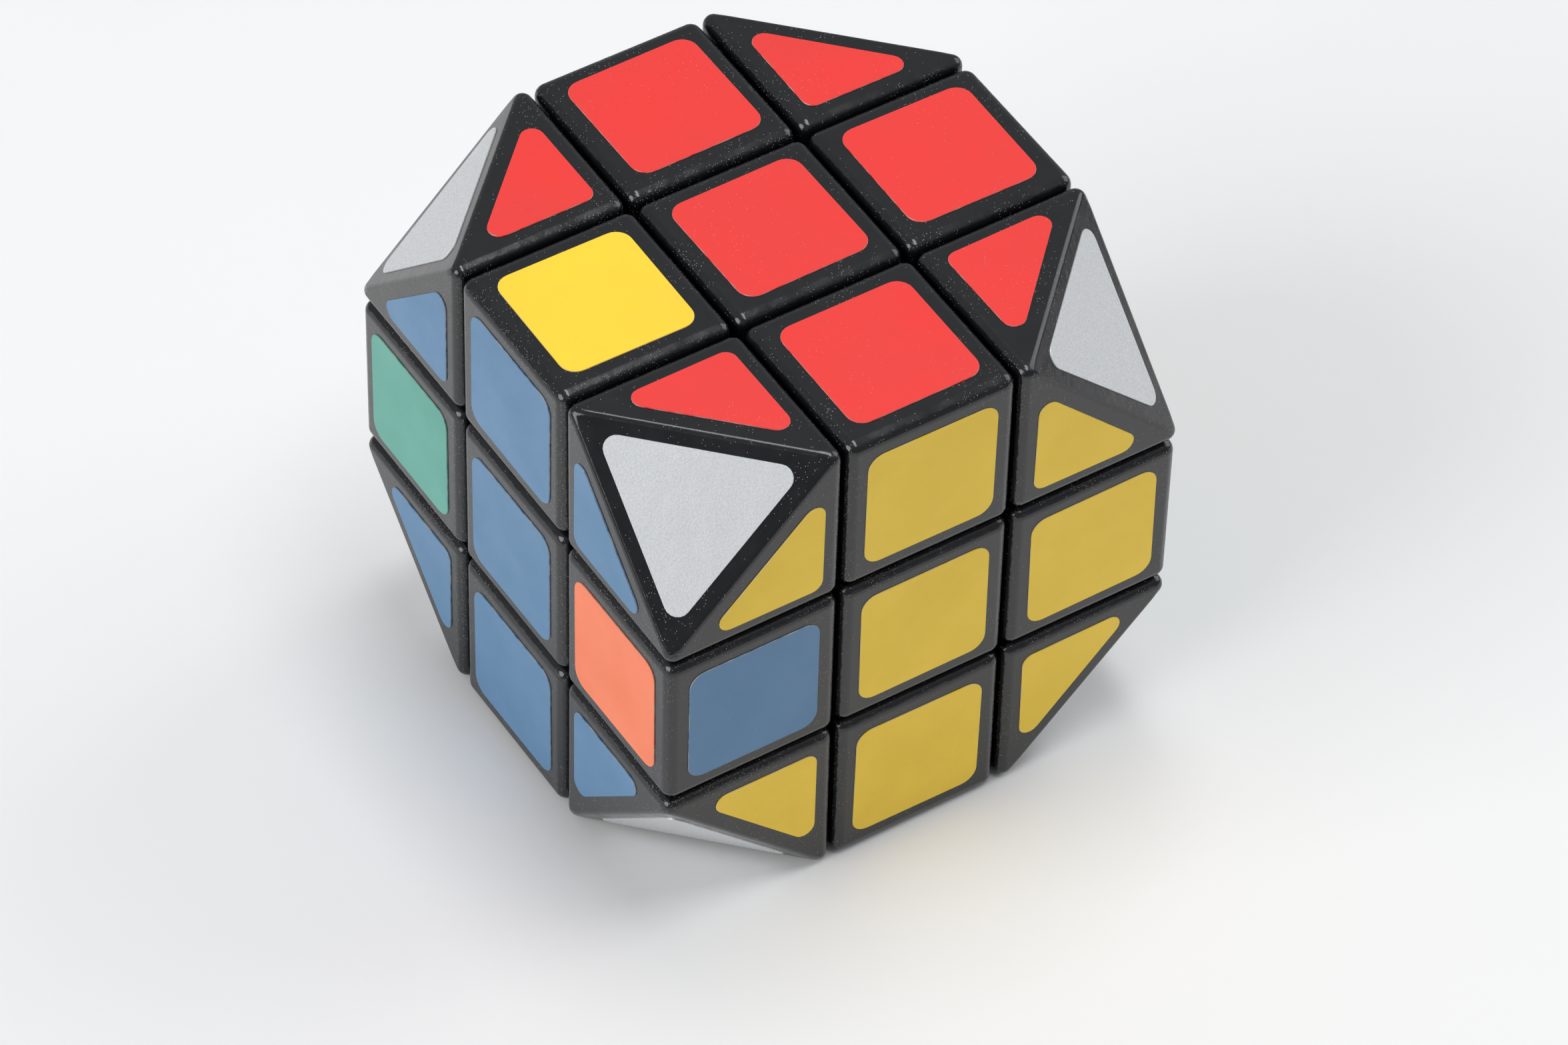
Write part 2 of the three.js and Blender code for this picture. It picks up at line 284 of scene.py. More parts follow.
def mixed(tree, factor, first, second):
    """A colour between two, of which each is a colour or another node's output."""
    node = tree.nodes.new("ShaderNodeMix")
    node.data_type = "RGBA"
    tree.links.new(factor, node.inputs["Factor"])
    for label, value in (("A", first), ("B", second)):
        socket = [s for s in node.inputs if s.name == label and s.type == "RGBA"][0]
        if isinstance(value, tuple):
            socket.default_value = value
        else:
            tree.links.new(value, socket)
    return [s for s in node.outputs if s.type == "RGBA"][0]


def ranged(tree, value, low, high, lowest=0.0, highest=1.0):
    """Maps low..high onto lowest..highest."""
    node = tree.nodes.new("ShaderNodeMapRange")
    tree.links.new(value, node.inputs["Value"])
    for label, number in (
        ("From Min", low),
        ("From Max", high),
        ("To Min", lowest),
        ("To Max", highest),
    ):
        node.inputs[label].default_value = number
    return node.outputs["Result"]


def placed_group(tree, group, **values):
    node = tree.nodes.new("ShaderNodeGroup")
    node.node_tree = group
    for label, value in values.items():
        node.inputs[label].default_value = value
    return node.outputs


def plain_material(name, colour, roughness, metallic=0.0):
    """A material with its Principled shader, to which the varying parts are then joined."""
    material = bpy.data.materials.new(name)
    material.use_nodes = True
    shader = material.node_tree.nodes["Principled BSDF"]
    shader.inputs["Base Color"].default_value = colour
    shader.inputs["Roughness"].default_value = roughness
    shader.inputs["Metallic"].default_value = metallic
    return material, material.node_tree, shader


def bumped(tree, shader, height, depth):
    """Joins a height from 0 to 1 to the shader as a bump of this depth in millimetres."""
    bump = tree.nodes.new("ShaderNodeBump")
    bump.inputs["Distance"].default_value = depth * MM
    tree.links.new(height, bump.inputs["Height"])
    tree.links.new(bump.outputs["Normal"], shader.inputs["Normal"])


nylon, tree, shader = plain_material("natural nylon", NYLON, 0.45)
shader.inputs["Subsurface Weight"].default_value = 0.15
shader.inputs["Subsurface Radius"].default_value = (0.9, 0.8, 0.6)
shader.inputs["Subsurface Scale"].default_value = 1.2 * MM
height = placed_group(tree, grain, Fine=6000, Swell=500)["Height"]
bumped(tree, shader, height, 0.05)
cloud = noise(tree, object_place(tree), 260)
tree.links.new(mixed(tree, cloud, NYLON, DARK_NYLON), shader.inputs["Base Color"])
tree.links.new(ranged(tree, cloud, 0.3, 0.7, 0.36, 0.52), shader.inputs["Roughness"])


def core_arm():
    profile = [(0, 0), (ARM_RADIUS, 0), (ARM_RADIUS, HUB_HALF - ARM_SINK)]
    steps = 6
    for step in range(steps + 1):  # the fillet where the arm meets the hub
        angle = math.pi / 2 * step / steps
        out = ARM_RADIUS + ARM_FILLET * (1 - math.sin(angle))
        profile.append((out, HUB_HALF + ARM_FILLET * (1 - math.cos(angle))))
    profile += [
        (ARM_RADIUS, ARM_LENGTH - ARM_CHAMFER),
        (ARM_RADIUS - ARM_CHAMFER, ARM_LENGTH),
        (0, ARM_LENGTH),
    ]
    return turned(profile)


def pilot_hole():
    wide = PILOT_RADIUS + PILOT_LEAD
    return turned([
        (0, PILOT_BOTTOM),
        (PILOT_RADIUS, PILOT_BOTTOM),
        (PILOT_RADIUS, ARM_LENGTH - PILOT_LEAD),
        (wide, ARM_LENGTH),
        (wide, ARM_LENGTH + PAST),
        (0, ARM_LENGTH + PAST),
    ])


hub = [HUB_HALF] * 3
core = block([-size for size in hub], hub, HUB_ROUNDING)
rib_side = HUB_HALF - HUB_ROUNDING
for face in FACES:
    for low, high in (
        ((-rib_side, -RIB_HALF_WIDTH), (rib_side, RIB_HALF_WIDTH)),
        ((-RIB_HALF_WIDTH, -rib_side), (RIB_HALF_WIDTH, rib_side)),
    ):
        ends = (*low, HUB_HALF - RIB_SINK), (*high, HUB_HALF + RIB_HEIGHT)
        rib = block(*ends, RIB_ROUNDING)
        worked(core, "UNION", swung(rib, face_turn(face)))
for face in FACES:
    worked(core, "UNION", swung(core_arm(), face_turn(face)))
for face in FACES:
    worked(core, "DIFFERENCE", swung(pilot_hole(), face_turn(face)))
placed(smoothed(core), "core_body", Matrix.Identity(3), nylon,
       "core_nylon", "core", "core_spider")
bpy.data.objects.remove(core)


# ---- Screws ---------------------------------------------------------------------------------
# Pan-head self-tapping screws with a cross recess, cold headed and rolled from steel wire, then
# zinc plated. One goes into each arm of the core and holds a centre piece on its spring.

SCREW_TIP = 4.0  # above the core's middle
SCREW_POINT = 1.4
SCREW_ROOT = 1.15
SCREW_CREST = 1.5
THREAD_PITCH = 0.95
THREAD_END = 13.0
SHANK_SINK = 0.3  # depth of the shank in the head
HEAD_BOTTOM = 23.3
HEAD_TOP = 25.3
HEAD_RADIUS = 2.9
HEAD_SKIRT = 0.8  # height of the straight side under the dome
HEAD_BREAK = 0.1  # bevel under the head
DOME_FLAT = 0.1  # of the head's radius, what is left flat on top
CROSS_HALF_WIDTH = 0.42
CROSS_HALF_LENGTH = 1.5
CROSS_DEPTH = 1.1
CROSS_MOUTH = 0.5  # height over the head at which a blade has its full size
CROSS_TAPER = 0.55  # of its full size, what a blade keeps at its bottom
THREAD_STEPS = 6  # for each pitch
ZINC = (0.56, 0.57, 0.585, 1)
PALE_ZINC = (0.62, 0.62, 0.62, 1)
BLUISH_ZINC = (0.46, 0.47, 0.5, 1)

zinc, tree, shader = plain_material("zinc plated steel", ZINC, 0.28, 1.0)
height = placed_group(tree, grain, Fine=14000, Swell=1600)["Height"]
bumped(tree, shader, height, 0.012)
cloud = noise(tree, object_place(tree), 900, 4.0)
tree.links.new(mixed(tree, cloud, PALE_ZINC, BLUISH_ZINC), shader.inputs["Base Color"])
tree.links.new(ranged(tree, cloud, 0.3, 0.7, 0.2, 0.42), shader.inputs["Roughness"])


def threaded_shank(segments=24):
    """The shank and its tapered point, with a thread that runs out towards the head."""
    bm = bmesh.new()
    count = round((THREAD_END - SCREW_TIP) / THREAD_PITCH * THREAD_STEPS)
    heights = [SCREW_TIP + (THREAD_END - SCREW_TIP) * i / count for i in range(1, count + 1)]
    heights.append(HEAD_BOTTOM + SHANK_SINK)
    rings = []
    for z in heights:
        taper = min(1, (z - SCREW_TIP) / SCREW_POINT)
        runs_out = max(0, min(1, (THREAD_END - z) / THREAD_PITCH))
        ring = []
        for i in range(segments):
            phase = (z / THREAD_PITCH - i / segments) % 1
            ridge = max(0, 1 - abs(phase - 0.5) * 4)  # as wide as half the pitch
            radius = taper * (SCREW_ROOT + (SCREW_CREST - SCREW_ROOT) * ridge * runs_out)
            angle = math.tau * i / segments
            ring.append(bm.verts.new((radius * math.cos(angle), radius * math.sin(angle), z)))
        rings.append(ring)
    tip = bm.verts.new((0, 0, SCREW_TIP))
    for i in range(segments):
        bm.faces.new((tip, rings[0][i], rings[0][i - 1]))
    for lower, upper in zip(rings, rings[1:]):
        for i in range(segments):
            bm.faces.new((lower[i - 1], lower[i], upper[i], upper[i - 1]))
    bm.faces.new(rings[-1])
    return made("shank", bm)


def screw_head():
    profile = [
        (0, HEAD_BOTTOM),
        (HEAD_RADIUS - HEAD_BREAK, HEAD_BOTTOM),
        (HEAD_RADIUS, HEAD_BOTTOM + HEAD_BREAK),
    ]
    rise = HEAD_TOP - HEAD_BOTTOM - HEAD_SKIRT
    steps = 8
    for step in range(steps):
        angle = math.pi / 2 * step / steps
        side = HEAD_RADIUS * (1 - (1 - DOME_FLAT) * (1 - math.cos(angle)))
        profile.append((side, HEAD_BOTTOM + HEAD_SKIRT + rise * math.sin(angle)))
    profile.append((0, HEAD_TOP))
    return turned(profile)


def cross_recess():
    """Two blades that narrow towards their bottom, as a cross-point driver does."""
    floor = HEAD_TOP - CROSS_DEPTH
    blades = []
    for along in (0, 1):
        points = []
        for x, y in itertools.product((-1, 1), repeat=2):
            for z, share in ((floor, CROSS_TAPER), (HEAD_TOP + CROSS_MOUTH, 1.0)):
                point = (x * CROSS_HALF_LENGTH * share, y * CROSS_HALF_WIDTH * share, z)
                points.append(point if along else (point[1], point[0], z))
        blades.append(hull("blade", points))
    return blades


screw = worked(threaded_shank(), "UNION", screw_head())
worked(screw, "DIFFERENCE", *cross_recess())
smoothed(screw, 30)
for face in FACES:
    placed(screw, f"screw_of_{face}", face_turn(face), zinc,
           "screw_steel", "core", f"screw_{face}")
bpy.data.objects.remove(screw)


# ---- Washers --------------------------------------------------------------------------------
# Stamped steel rings, zinc plated, loose on each screw between its head and the spring.

WASHER_BOTTOM = 22.4
WASHER_TOP = 23.0
WASHER_INNER = 1.8
WASHER_OUTER = 3.2
WASHER_BREAK = 0.1  # rounding that the stamping leaves

washer = turned([
    (WASHER_INNER + WASHER_BREAK, WASHER_BOTTOM),
    (WASHER_OUTER - WASHER_BREAK, WASHER_BOTTOM),
    (WASHER_OUTER, WASHER_BOTTOM + WASHER_BREAK),
    (WASHER_OUTER, WASHER_TOP - WASHER_BREAK),
    (WASHER_OUTER - WASHER_BREAK, WASHER_TOP),
    (WASHER_INNER + WASHER_BREAK, WASHER_TOP),
    (WASHER_INNER, WASHER_TOP - WASHER_BREAK),
    (WASHER_INNER, WASHER_BOTTOM + WASHER_BREAK),
], closed=True)
smoothed(washer, 50)
for face in FACES:
    placed(washer, f"washer_of_{face}", face_turn(face), zinc,
           "screw_steel", "core", f"washer_{face}")
bpy.data.objects.remove(washer)


# ---- Springs --------------------------------------------------------------------------------
# Compression springs wound from drawn steel wire, with a closed coil at each end. Each presses
# its centre piece inwards, against the washer under the screw's head.

WIRE_RADIUS = 0.4
COIL_RADIUS = 2.7
SPRING_BOTTOM = 15.1
SPRING_TOP = 22.1
OPEN_TURNS = 3.6
CLOSED_TURNS = 0.9  # at each end
CLOSED_PITCH = 2 * WIRE_RADIUS * 1.04  # the closed turns all but touch
COIL_STEPS = 28  # for each turn
WIRE_SIDES = 10
DRAWN_STEEL = (0.42, 0.42, 0.43, 1)

wire, tree, shader = plain_material("drawn spring wire", DRAWN_STEEL, 0.25, 1.0)
height = placed_group(tree, grain, Fine=16000, Swell=2500)["Height"]
bumped(tree, shader, height, 0.01)
cloud = noise(tree, object_place(tree), 1500, 3.0)
tree.links.new(ranged(tree, cloud, 0.3, 0.7, 0.2, 0.36), shader.inputs["Roughness"])


def wire_height(turns):
    """Height of the wire's middle: it rises by one wire a turn in the closed ends, and more
    between them."""
    closed = CLOSED_PITCH * CLOSED_TURNS
    low, high = SPRING_BOTTOM + WIRE_RADIUS, SPRING_TOP - WIRE_RADIUS
    if turns < CLOSED_TURNS:
        return low + closed * turns / CLOSED_TURNS
    if turns > CLOSED_TURNS + OPEN_TURNS:
        return high - closed * (2 * CLOSED_TURNS + OPEN_TURNS - turns) / CLOSED_TURNS
    share = (turns - CLOSED_TURNS) / OPEN_TURNS
    return low + closed + (high - low - 2 * closed) * share


def wound_spring():
    bm = bmesh.new()
    total = 2 * CLOSED_TURNS + OPEN_TURNS
    count = round(total * COIL_STEPS)
    rings = []
    for i in range(count + 1):
        turns = total * i / count
        angle = math.tau * turns
        outwards = Vector((math.cos(angle), math.sin(angle), 0))
        middle = outwards * COIL_RADIUS + Vector((0, 0, wire_height(turns)))
        ring = []
        for side in range(WIRE_SIDES):
            lean = math.tau * side / WIRE_SIDES
            reach = outwards * math.cos(lean) + Vector((0, 0, math.sin(lean)))
            ring.append(bm.verts.new(middle + reach * WIRE_RADIUS))
        rings.append(ring)
    for lower, upper in zip(rings, rings[1:]):
        for side in range(WIRE_SIDES):
            bm.faces.new((lower[side - 1], lower[side], upper[side], upper[side - 1]))
    bm.faces.new(rings[0])
    bm.faces.new(rings[-1])
    return made("spring", bm)


spring = smoothed(wound_spring(), 50)
for face in FACES:
    placed(spring, f"spring_of_{face}", face_turn(face), wire,
           "spring_steel", "core", f"spring_{face}")
bpy.data.objects.remove(spring)


# ---- Centre pieces --------------------------------------------------------------------------
# Injection moulded in glossy black ABS. A plate carries the middle sticker, and its stem holds
# the spring and runs on the core's arm; under the plate is the shell that the feet run in.

SLICE = 9.5  # height of the cut between two layers, over the core's middle
CENTRE_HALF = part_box("centre_u")[1].x / MM
EDGE_ROUNDING = 1.2
FEET_ROOF = 22.2  # radius of the hollow ball under every plate
FEET_FLOOR = 18.7  # and of the ball that the feet leave free round the core
STEM_HALF = 5.8
STEM_RADIUS = 5.2
STEM_BOTTOM = 12.8
STEM_SINK = 2  # how far a square stem starts under the cut between the layers
STEM_ROUNDING = 0.4
MOULD_CHAMFER = 0.4
WELL_RADIUS = 3.6
WELL_FLOOR = 14.8
LID_ROOM = 6.5  # half the width of the recess for the lid
LID_FLOOR = 26.9
LID_CORNER = 0.3
PLATE_JOIN = 0.5  # how far a stem's top stays under the lid's floor
BLACK = (0.0040, 0.0045, 0.0056, 1)
WORN_BLACK = (0.022, 0.022, 0.024, 1)
DUST = (0.40, 0.38, 0.33, 1)
SPECK_WIDTH = 0.32  # of a cell's width, what a speck of dust fills

# Wear shows on rounded edges, broken up as fingers and neighbours rub them unevenly.
wear, wear_in, wear_out = node_group("Edge wear", {"Amount": 0.5, "Breakup": 900}, ["Mask"])
rim = wear.nodes.new("ShaderNodeAttribute")
rim.attribute_name = "rim"
broken = noise(wear, object_place(wear), wear_in.outputs["Breakup"], 4.0)
broken = ranged(wear, broken, 0.35, 0.7)
rubbed = math_node(wear, "MULTIPLY", rim.outputs["Fac"], broken)
wear.links.new(
    math_node(wear, "MULTIPLY", rubbed, wear_in.outputs["Amount"], clamp=True),
    wear_out.inputs["Mask"],
)

# Dust is small specks, thicker in some places than in others and thickest where the edges
# round off into the grooves.
dust, dust_in, dust_out = node_group("Dust", {"Amount": 1.0, "Size": 0.15}, ["Mask"])
dust_place = object_place(dust)
cells = dust.nodes.new("ShaderNodeTexVoronoi")
cells.inputs["Randomness"].default_value = 1.0
waves = math_node(dust, "DIVIDE", SPECK_WIDTH / MM, dust_in.outputs["Size"])
dust.links.new(dust_place, cells.inputs["Vector"])
dust.links.new(waves, cells.inputs["Scale"])
spot = ranged(dust, cells.outputs["Distance"], 0.22, 0.12)
apart = dust.nodes.new("ShaderNodeSeparateColor")
dust.links.new(cells.outputs["Color"], apart.inputs["Color"])
drift = ranged(dust, noise(dust, dust_place, 160, 3.0), 0.42, 0.72, 0.01, 0.30)
share = math_node(dust, "MULTIPLY", drift, dust_in.outputs["Amount"])
gathering = dust.nodes.new("ShaderNodeAttribute")
gathering.attribute_name = "rim"
thicker = ranged(dust, gathering.outputs["Fac"], 0.1, 0.9, 1.0, 3.0)
share = math_node(dust, "MULTIPLY", share, thicker)
kept = math_node(dust, "LESS_THAN", apart.outputs["Red"], share)
dust.links.new(math_node(dust, "MULTIPLY", spot, kept, clamp=True), dust_out.inputs["Mask"])

plastic, tree, shader = plain_material("glossy black plastic", BLACK, 0.22)
shader.inputs["IOR"].default_value = 1.6
place = object_place(tree)
rounded = tree.nodes.new("ShaderNodeAttribute")
rounded.attribute_name = "rim"
# The mould's fine texture is all over, and its hammered look is on the rounded edges.
texture = placed_group(tree, grain, Fine=5200, Swell=900)["Height"]
hammered = noise(tree, place, 1500, 2.0)
hammered = math_node(tree, "MULTIPLY", hammered, ranged(tree, rounded.outputs["Fac"], 0.4, 1.0))
height = math_node(tree, "ADD", math_node(tree, "MULTIPLY", texture, 0.2), hammered)
bumped(tree, shader, height, 0.07)
worn = placed_group(tree, wear, Amount=0.4, Breakup=1400)["Mask"]
specks = placed_group(tree, dust, Amount=1.5, Size=0.06)["Mask"]
colour = mixed(tree, worn, BLACK, WORN_BLACK)
tree.links.new(mixed(tree, specks, colour, DUST), shader.inputs["Base Color"])
matt = ranged(tree, noise(tree, place, 420, 3.0), 0.3, 0.7, 0.13, 0.23)
matt = math_node(tree, "ADD", matt, math_node(tree, "MULTIPLY", specks, 0.5), clamp=True)
tree.links.new(matt, shader.inputs["Roughness"])

AXES = list(FACES.values())
DIAGONAL = Vector((1, 1, 1)).normalized()


def ball(radius):
    bm = bmesh.new()
    bmesh.ops.create_icosphere(bm, subdivisions=5, radius=radius)
    return made("ball", bm)


def mark_rims(pattern, flats):
    """Writes to "rim" how far the outer surface is rounded away from every flat side: 0 on a
    flat and 1 halfway round an edge. The face of the hollow ball isn't outside."""
    mesh = pattern.data
    leans = [Vector() for _ in mesh.vertices]
    for face in mesh.polygons:
        for corner in face.vertices:
            leans[corner] += face.normal * face.area
    rims = mesh.attributes.new("rim", "FLOAT", "POINT")
    for vertex, lean, value in zip(mesh.vertices, leans, rims.data):
        facing = max(lean.normalized().dot(flat) for flat in flats)
        outside = vertex.co.length > FEET_ROOF + 0.1
        value.value = min(1, (1 - facing) / (1 - math.sqrt(0.5))) if outside else 0
    return smoothed(pattern)


def centre_piece():
    side, stem_top = CENTRE_HALF, LID_FLOOR - PLATE_JOIN
    plate = block((-side, -side, SLICE), (side, side, HALF_CUBE), EDGE_ROUNDING)
    worked(plate, "DIFFERENCE", ball(FEET_ROOF))
    stem_low = (-STEM_HALF, -STEM_HALF, SLICE - STEM_SINK)
    neck = block(stem_low, (STEM_HALF, STEM_HALF, stem_top), STEM_ROUNDING)
    worked(neck, "DIFFERENCE", ball(FEET_FLOOR))
    stem = turned([
        (0, STEM_BOTTOM),
        (STEM_RADIUS - MOULD_CHAMFER, STEM_BOTTOM),
        (STEM_RADIUS, STEM_BOTTOM + MOULD_CHAMFER),
        (STEM_RADIUS, stem_top),
        (0, stem_top),
    ])
    worked(plate, "UNION", neck, stem)
    recess_high = (LID_ROOM, LID_ROOM, HALF_CUBE + PAST)
    recess = block((-LID_ROOM, -LID_ROOM, LID_FLOOR), recess_high, LID_CORNER)
    well = rod(WELL_RADIUS, WELL_FLOOR, HALF_CUBE + PAST)
    worked(plate, "DIFFERENCE", well, rod(PILOT_RADIUS, 0, HALF_CUBE), recess)
    return mark_rims(plate, AXES)


pattern = centre_piece()
for face in FACES:
    placed(pattern, f"centre_plate_{face}", face_turn(face), plastic, "black_plastic",
           f"centre_{face}", f"centre_{face}")
    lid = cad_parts[f"centre_lid_{face}"]
    lid.data.materials.clear()
    lid.data.materials.append(plastic)
bpy.data.objects.remove(pattern)


# ---- Edge pieces ----------------------------------------------------------------------------
# Hollow blocks of the same black ABS, moulded as two halves and glued. Each has a foot that
# runs under the plates of its two centres, with an opening through it from the core's side.

EDGES = ("ul", "ur", "uf", "ub", "ld", "rd", "fd", "bd", "lf", "bl", "fr", "rb")
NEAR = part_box("corner_shell_urb")[0].x / MM  # inner sides of an edge or a corner
WALL = 1.5
FOOT_NEAR = 6.2  # sides of a foot that face the stems
FOOT_TOP = 21.8
FOOT_REACH = FOOT_TOP + 0.2  # a foot's block, before a ball rounds it off
FOOT_ROUNDING = 0.5
HOLLOW_ROUNDING = 0.4
WINDOW_HALF = 3.0
WINDOW_ROUNDING = 0.3


def piece_turn(letters):
    """Turns the axes Z and Y, or Z, Y and X, onto the faces that the letters name."""
    z, y = FACES[letters[0]], FACES[letters[1]]
    x = y.cross(z)
    if len(letters) == 3:
        third = FACES[letters[2]]
        if third.dot(x) < 0:
            x, y = y, third
    return Matrix((x, y, z)).transposed()


def edge_piece():
    side = CENTRE_HALF
    low, high = (-side, NEAR, NEAR), (side, HALF_CUBE, HALF_CUBE)
    body = worked(block(low, high, EDGE_ROUNDING), "DIFFERENCE", ball(FEET_ROOF))
    foot_high = (STEM_HALF, FOOT_REACH, FOOT_REACH)
    neck = block((-STEM_HALF, NEAR, NEAR), foot_high, STEM_ROUNDING)
    foot = block((-STEM_HALF, FOOT_NEAR, FOOT_NEAR), foot_high, FOOT_ROUNDING)
    worked(foot, "INTERSECT", ball(FOOT_TOP))
    worked(body, "UNION", neck, foot)
    inner_low = [end + WALL for end in low]
    inner_high = [end - WALL for end in high]
    hollow = block(inner_low, inner_high, HOLLOW_ROUNDING)
    worked(hollow, "DIFFERENCE", ball(FEET_ROOF + WALL))
    window_high = (WINDOW_HALF, WINDOW_HALF, HALF_CUBE)
    window = block((-WINDOW_HALF, -WINDOW_HALF, 0), window_high, WINDOW_ROUNDING)
    swung(window, Matrix.Rotation(-math.pi / 4, 3, "X"))
    worked(body, "DIFFERENCE", ball(FEET_FLOOR), hollow, window)
    return mark_rims(body, AXES)


pattern = edge_piece()
for letters in EDGES:
    placed(pattern, f"edge_block_{letters}", piece_turn(letters), plastic, "black_plastic",
           f"edge_{letters}", f"edge_{letters}")
bpy.data.objects.remove(pattern)


# ---- Corner pieces --------------------------------------------------------------------------
# A hollow shell of black ABS whose outer corner is cut off flat, from one neighbour to the
# next. It is closed by a foot of its own, whose peg is pushed and glued into the shell.

CORNERS = ("ulf", "ulb", "urf", "urb", "ldf", "ldb", "rdf", "rdb")
TIP_WIDTH = 1.0  # of the cube's edges, what the cut leaves on each side
CUT_DISTANCE = (2 * HALF_CUBE + SLICE + TIP_WIDTH) / math.sqrt(3)  # from the core's middle
CUT_ROUNDING = 0.75
TIP_ROUNDING = (CUT_DISTANCE * math.sqrt(3) - 2 * HALF_CUBE - NEAR) / (math.sqrt(3) - 1)
TIP_REACH = 1.5  # length over which a cut's edge swells into its tip
SHELL_MOUTH = 22.1
PEG_RADIUS = 3.1
PEG_SINK = 1.5  # height in the foot from which the peg rises
PEG_TOP = 25.2


def cut_tips(rounding):
    """Where balls of this radius lie when they touch two outer sides and the cut."""
    high = HALF_CUBE - rounding
    rest = (CUT_DISTANCE - rounding) * math.sqrt(3) - 2 * high
    return [Vector(p) for p in ((rest, high, high), (high, rest, high), (high, high, rest))]


def corner_points():
    low, high = NEAR + EDGE_ROUNDING, HALF_CUBE - EDGE_ROUNDING
    for middle in ((low, low, low), (high, low, low), (low, high, low), (low, low, high)):
        yield from ball_points(middle, EDGE_ROUNDING)
    for tip in cut_tips(TIP_ROUNDING):  # these balls touch the inner side too
        yield from ball_points(tip, TIP_ROUNDING)
    for start, end in itertools.permutations(cut_tips(CUT_ROUNDING), 2):
        way = (end - start).normalized()
        yield from ball_points(start + way * TIP_REACH, CUT_ROUNDING)


def corner_shell():
    body = hull("shell", corner_points())
    low, high = NEAR + WALL, HALF_CUBE - WALL
    rest = (CUT_DISTANCE - WALL) * math.sqrt(3) - low - high  # at the inner side of the cut
    near_corners = [(low, low, low), (high, low, low), (low, high, low), (low, low, high)]
    hollow = hull("hollow", near_corners + list(itertools.permutations((low, rest, high))))
    worked(body, "DIFFERENCE", hollow, ball(SHELL_MOUTH))
    return mark_rims(body, [*AXES, DIAGONAL])


def corner_foot():
    foot = block([FOOT_NEAR] * 3, [FOOT_REACH] * 3, FOOT_ROUNDING)
    worked(foot, "INTERSECT", ball(FOOT_TOP))
    worked(foot, "DIFFERENCE", ball(FEET_FLOOR))
    peg = turned([
        (0, FEET_FLOOR + PEG_SINK),
        (PEG_RADIUS, FEET_FLOOR + PEG_SINK),
        (PEG_RADIUS, PEG_TOP - MOULD_CHAMFER),
        (PEG_RADIUS - MOULD_CHAMFER, PEG_TOP),
        (0, PEG_TOP),
    ])
    lean = Vector((0, 0, 1)).rotation_difference(DIAGONAL).to_matrix()
    return mark_rims(worked(foot, "UNION", swung(peg, lean)), AXES)


shell, foot = corner_shell(), corner_foot()
for letters in CORNERS:
    turn = piece_turn(letters)
    placed(shell, f"corner_block_{letters}", turn, plastic, "black_plastic",
           f"corner_{letters}", f"corner_shell_{letters}")
    placed(foot, f"corner_runner_{letters}", turn, plastic, "black_plastic",
           f"corner_{letters}", f"corner_foot_{letters}")
bpy.data.objects.remove(shell)
bpy.data.objects.remove(foot)


# ---- Stickers -------------------------------------------------------------------------------
# Die-cut from satin vinyl film and stuck on by hand, so none is quite straight. The cut corners
# carry silver triangles of metallised film with a fine grain. Six edge pieces aren't at home.

STICKER_THICKNESS = 0.13
STICKER_BEVEL = 0.04
SQUARE_HALF = 7.15
SQUARE_CORNER = 1.7
TRIANGLE_INSET = 2.05  # from the inner sides of a corner piece
TRIANGLE_LEG = 13.0
TRIANGLE_CORNER = 1.2
SILVER_SIDE = 19.9
SILVER_CORNER = 1.3
SHIFT = 0.12  # how far a sticker may be off its place
TWIST = 0.7  # degrees that it may be turned
FILM_CORE = (0.72, 0.66, 0.58, 1)  # shows where the film is cut
DEEPER = 0.93  # of its brightness, what a film keeps where it is darkest
SILVER = (0.71, 0.725, 0.73, 1)
DARK_SILVER = (0.58, 0.595, 0.605, 1)
STICKER_COLOURS = {
    "red": (0.81, 0.037, 0.031, 1),
    "yellow": (0.94, 0.635, 0.032, 1),
    "blue": (0.094, 0.226, 0.40, 1),
    "green": (0.092, 0.38, 0.30, 1),
    "orange": (0.95, 0.215, 0.086, 1),
    "white": (0.82, 0.82, 0.80, 1),
}
FACE_COLOURS = dict(u="red", d="orange", l="blue", r="green", f="yellow", b="white")
# The edge pieces that aren't at home, with the colours that they show on their two faces.
MIXED_EDGES = {
    "ul": ("yellow", "blue"),
    "lf": ("orange", "blue"),
    "ld": ("blue", "red"),
    "bl": ("white", "green"),
    "rb": ("orange", "white"),
    "bd": ("white", "blue"),
}


def vinyl(name, colour):
    material, tree, shader = plain_material(f"{name} vinyl film", colour, 0.4)
    place = object_place(tree)
    height = placed_group(tree, grain, Fine=7000, Swell=300)["Height"]
    bumped(tree, shader, height, 0.03)
    specks = placed_group(tree, dust, Amount=0.6, Size=0.06)["Mask"]
    cloud = noise(tree, place, 120, 3.0)
    deeper = (*(DEEPER * part for part in colour[:3]), 1)
    shade = mixed(tree, ranged(tree, cloud, 0.3, 0.7), colour, deeper)
    pale_cut = placed_group(tree, wear, Amount=0.75, Breakup=700)["Mask"]
    shade = mixed(tree, pale_cut, shade, FILM_CORE)
    tree.links.new(mixed(tree, specks, shade, DUST), shader.inputs["Base Color"])
    tree.links.new(ranged(tree, cloud, 0.3, 0.7, 0.34, 0.46), shader.inputs["Roughness"])
    return material


films = {name: vinyl(name, colour) for name, colour in STICKER_COLOURS.items()}

